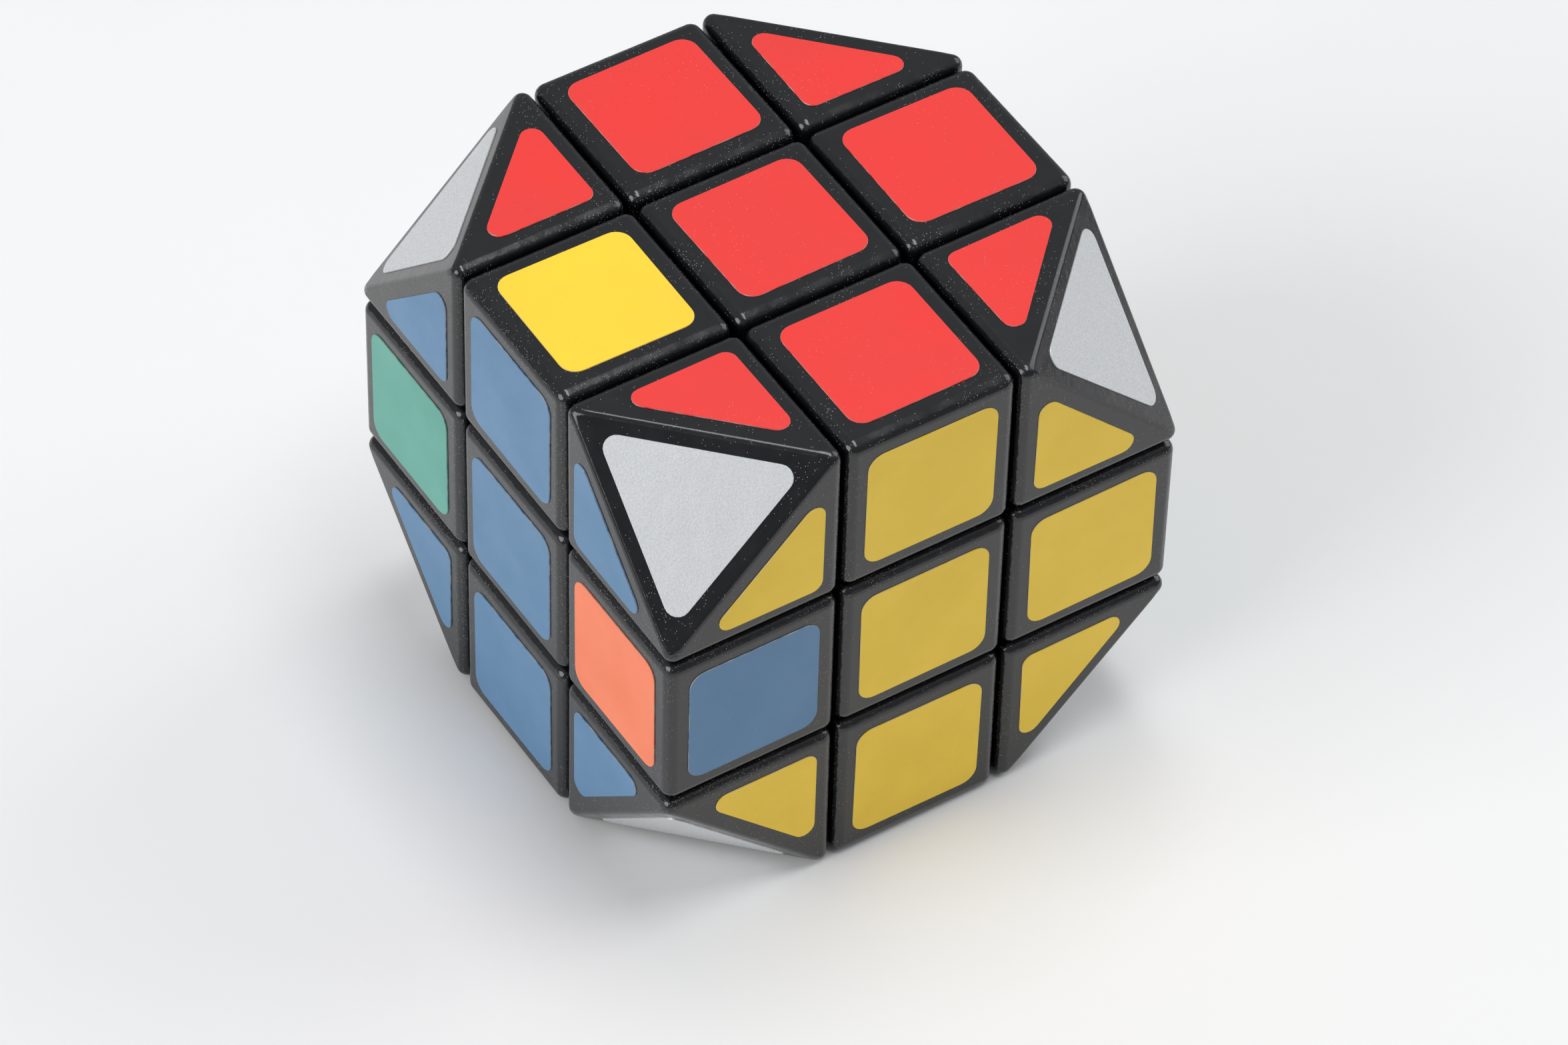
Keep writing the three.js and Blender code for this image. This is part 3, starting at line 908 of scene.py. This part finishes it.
silver, tree, shader = plain_material("silver film", SILVER, 0.42, 0.5)
flakes = noise(tree, object_place(tree), 5200, 2.0)
shade = mixed(tree, ranged(tree, flakes, 0.35, 0.65), SILVER, DARK_SILVER)
tree.links.new(shade, shader.inputs["Base Color"])
tree.links.new(ranged(tree, flakes, 0.3, 0.7, 0.36, 0.52), shader.inputs["Roughness"])
bumped(tree, shader, placed_group(tree, grain, Fine=5200, Swell=260)["Height"], 0.035)


def rounded_outline(corners, radius, steps=6):
    """The outline of a flat shape, anticlockwise, with an arc in each of its corners."""
    outline = []
    for i, corner in enumerate(corners):
        before = (Vector(corners[i - 1]) - Vector(corner)).normalized()
        after = (Vector(corners[(i + 1) % len(corners)]) - Vector(corner)).normalized()
        half = before.angle(after) / 2
        middle = Vector(corner) + (before + after).normalized() * radius / math.sin(half)
        start = Vector(corner) + before * radius / math.tan(half) - middle
        sweep = math.pi - 2 * half
        for step in range(steps + 1):
            outline.append(middle + Matrix.Rotation(sweep * step / steps, 2) @ start)
    return outline


def sticker_pattern(name, corners, radius):
    """A thin plate on the plane z = 0, with a small bevel round its top."""
    bm = bmesh.new()
    middle = sum((Vector(c) for c in corners), Vector((0, 0))) / len(corners)
    outline = rounded_outline(corners, radius)
    inner = [point + (middle - point).normalized() * STICKER_BEVEL for point in outline]
    bevel = STICKER_THICKNESS - STICKER_BEVEL
    levels = [(outline, 0.0), (outline, bevel), (inner, STICKER_THICKNESS)]
    rings = [[bm.verts.new((p.x, p.y, z)) for p in points] for points, z in levels]
    for lower, upper in zip(rings, rings[1:]):
        for i in range(len(lower)):
            bm.faces.new((lower[i - 1], lower[i], upper[i], upper[i - 1]))
    bm.faces.new(rings[0])
    bm.faces.new(rings[-1])
    pattern = smoothed(made(name, bm), 25)
    rims = pattern.data.attributes.new("rim", "FLOAT", "POINT")
    for vertex, value in zip(pattern.data.vertices, rims.data):
        value.value = 1 if vertex.co.z < STICKER_THICKNESS - STICKER_BEVEL / 2 else 0
    return pattern, middle


hand = random.Random(11)


def stick(pattern, middle, name, onto, material, slot, body):
    """Puts a sticker on a piece: onto carries the plane z = 0 to the piece's surface."""
    shift = Vector((hand.uniform(-SHIFT, SHIFT), hand.uniform(-SHIFT, SHIFT), 0))
    twist = Matrix.Rotation(math.radians(hand.uniform(-TWIST, TWIST)), 4, "Z")
    about = Matrix.Translation(middle.to_3d())
    place = onto @ Matrix.Translation(shift) @ about @ twist @ about.inverted()
    placed(pattern, name, place, material, slot, body)


def letter_of(direction):
    """The face that a direction points out of."""
    return next(face for face, axis in FACES.items() if axis.dot(direction) > 0.9)


square, square_middle = sticker_pattern(
    "square",
    [(-SQUARE_HALF, -SQUARE_HALF), (SQUARE_HALF, -SQUARE_HALF),
     (SQUARE_HALF, SQUARE_HALF), (-SQUARE_HALF, SQUARE_HALF)],
    SQUARE_CORNER,
)
on_top = Matrix.Translation((0, 0, HALF_CUBE))
for face in FACES:
    colour = FACE_COLOURS[face]
    stick(square, square_middle, f"sticker_{face}", face_turn(face).to_4x4() @ on_top,
          films[colour], f"sticker_{colour}", f"centre_{face}")

outwards = (NEAR + HALF_CUBE) / 2  # an edge's sticker lies in the middle of its side
on_edge = (
    Matrix.Translation((0, outwards, HALF_CUBE)),
    Matrix.Rotation(-math.pi / 2, 4, "X") @ Matrix.Translation((0, -outwards, HALF_CUBE)),
)
for letters in EDGES:
    home = [FACE_COLOURS[letter] for letter in letters]
    for face, colour, side in zip(letters, MIXED_EDGES.get(letters, home), on_edge):
        stick(square, square_middle, f"sticker_{face}_{letters}",
              piece_turn(letters).to_4x4() @ side,
              films[colour], f"sticker_{colour}", f"edge_{letters}")

near = NEAR + TRIANGLE_INSET
half_face, half_middle = sticker_pattern(
    "half face",
    [(near, near), (near + TRIANGLE_LEG, near), (near, near + TRIANGLE_LEG)],
    TRIANGLE_CORNER,
)
spin = Matrix.Rotation(math.tau / 3, 4, DIAGONAL)
round_third = SILVER_SIDE / math.sqrt(3)
cut_face, cut_middle = sticker_pattern(
    "cut face",
    [(round_third * math.cos(a), round_third * math.sin(a))
     for a in (math.pi / 2, math.pi * 7 / 6, math.pi * 11 / 6)],
    SILVER_CORNER,
)
up_the_cut = Vector((-1, -1, 2)).normalized()
cut_axes = Matrix((up_the_cut.cross(DIAGONAL), up_the_cut, DIAGONAL)).transposed()
on_cut = cut_axes.to_4x4() @ Matrix.Rotation(math.pi, 4, "Z")
on_cut = on_cut @ Matrix.Translation((0, 0, CUT_DISTANCE))
for letters in CORNERS:
    turn = piece_turn(letters)
    for times, axis in enumerate(((0, 0, 1), (1, 0, 0), (0, 1, 0))):
        face = letter_of(turn @ Vector(axis))
        colour = FACE_COLOURS[face]
        around = Matrix.Identity(4)
        for _ in range(times):
            around = spin @ around
        stick(half_face, half_middle, f"sticker_{face}_{letters}",
              turn.to_4x4() @ around @ on_top,
              films[colour], f"sticker_{colour}", f"corner_{letters}")
    stick(cut_face, cut_middle, f"sticker_cut_{letters}", turn.to_4x4() @ on_cut,
          silver, "sticker_silver", f"corner_{letters}")
for pattern in (square, half_face, cut_face):
    bpy.data.objects.remove(pattern)


# ---- Table, light and camera ----------------------------------------------------------------
# The puzzle lies on a matt white table in a pale room, between two soft boxes at its sides
# and under a long narrow one.

TABLE_HALF = 0.4
TABLE_GAP = 0.02 * MM  # what keeps the lowest stickers from lying in the table's own plane
TABLE_WHITE = (0.83, 0.83, 0.83, 1)
WARM_WHITE = (0.815, 0.815, 0.812, 1)
ROOM_WHITE = (0.96, 0.98, 1.02, 1)
ROOM_DARK, ROOM_BRIGHT = 0.25, 0.43
ROOM_BRIGHT_SIDE = Vector((0.2, 0.6, 0.77)).normalized()
TOP_LIGHT = (Vector((0.09, 0.0, 0.75)), 0.62, 0.24, 2.6)  # place, width, depth and power
LEFT_LIGHT = (Vector((-1.35, 0.0, 0.75)), 1.1, 1.1, 15.0)
RIGHT_LIGHT = (Vector((1.3, -0.1, 0.8)), 1.2, 1.2, 8.0)
VIEW_AZIMUTH = -33.4
VIEW_ELEVATION = 46.9
VIEW_ROLL = 1.67
VIEW_DISTANCE = 0.716
LENS = 169.6
AIM_RIGHT = 1.88 * MM
AIM_DOWN = 8.3 * MM

bm = bmesh.new()
bmesh.ops.create_grid(bm, x_segments=1, y_segments=1, size=TABLE_HALF)
table = made("table", bm)
table.location.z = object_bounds()[0].z - TABLE_GAP
table_white, tree, shader = plain_material("matt white table", TABLE_WHITE, 0.6)
paper = noise(tree, object_place(tree), 60, 4.0)
tree.links.new(mixed(tree, paper, TABLE_WHITE, WARM_WHITE), shader.inputs["Base Color"])
table.data.materials.append(table_white)

world = bpy.data.worlds.new("pale room")
scene.world = world
world.use_nodes = True
sky = world.node_tree
lean = sky.nodes.new("ShaderNodeVectorMath")
lean.operation = "DOT_PRODUCT"
lean.inputs[1].default_value = ROOM_BRIGHT_SIDE
sky.links.new(sky.nodes.new("ShaderNodeTexCoord").outputs["Generated"], lean.inputs[0])
background = sky.nodes["Background"]
background.inputs["Color"].default_value = ROOM_WHITE
sky.links.new(
    ranged(sky, lean.outputs["Value"], -0.1, 1.0, ROOM_DARK, ROOM_BRIGHT),
    background.inputs["Strength"],
)


def soft_box(name, spot, width, depth, power):
    """A flat light that faces the puzzle."""
    data = bpy.data.lights.new(name, "AREA")
    data.shape = "RECTANGLE"
    data.size, data.size_y = width, depth
    data.energy = power
    lamp = bpy.data.objects.new(name, data)
    lamp.location = spot
    lamp.rotation_mode = "QUATERNION"
    lamp.rotation_quaternion = spot.to_track_quat("Z", "Y")
    lamp.visible_camera = False
    scene.collection.objects.link(lamp)


soft_box("top light", *TOP_LIGHT)
soft_box("left light", *LEFT_LIGHT)
soft_box("right light", *RIGHT_LIGHT)

azimuth, elevation = math.radians(VIEW_AZIMUTH), math.radians(VIEW_ELEVATION)
back = Vector((
    math.sin(azimuth) * math.cos(elevation),
    -math.cos(azimuth) * math.cos(elevation),
    math.sin(elevation),
))
level = back.to_track_quat("Z", "Y").to_matrix()
upright = level @ Matrix.Rotation(math.radians(VIEW_ROLL), 3, "Z")
camera_data = bpy.data.cameras.new("camera")
camera_data.lens = LENS
camera_data.sensor_width = 36.0
camera = bpy.data.objects.new("camera", camera_data)
aim = upright @ Vector((AIM_RIGHT, -AIM_DOWN, 0))
camera.matrix_world = Matrix.Translation(aim + back * VIEW_DISTANCE) @ upright.to_4x4()
scene.collection.objects.link(camera)
scene.camera = camera
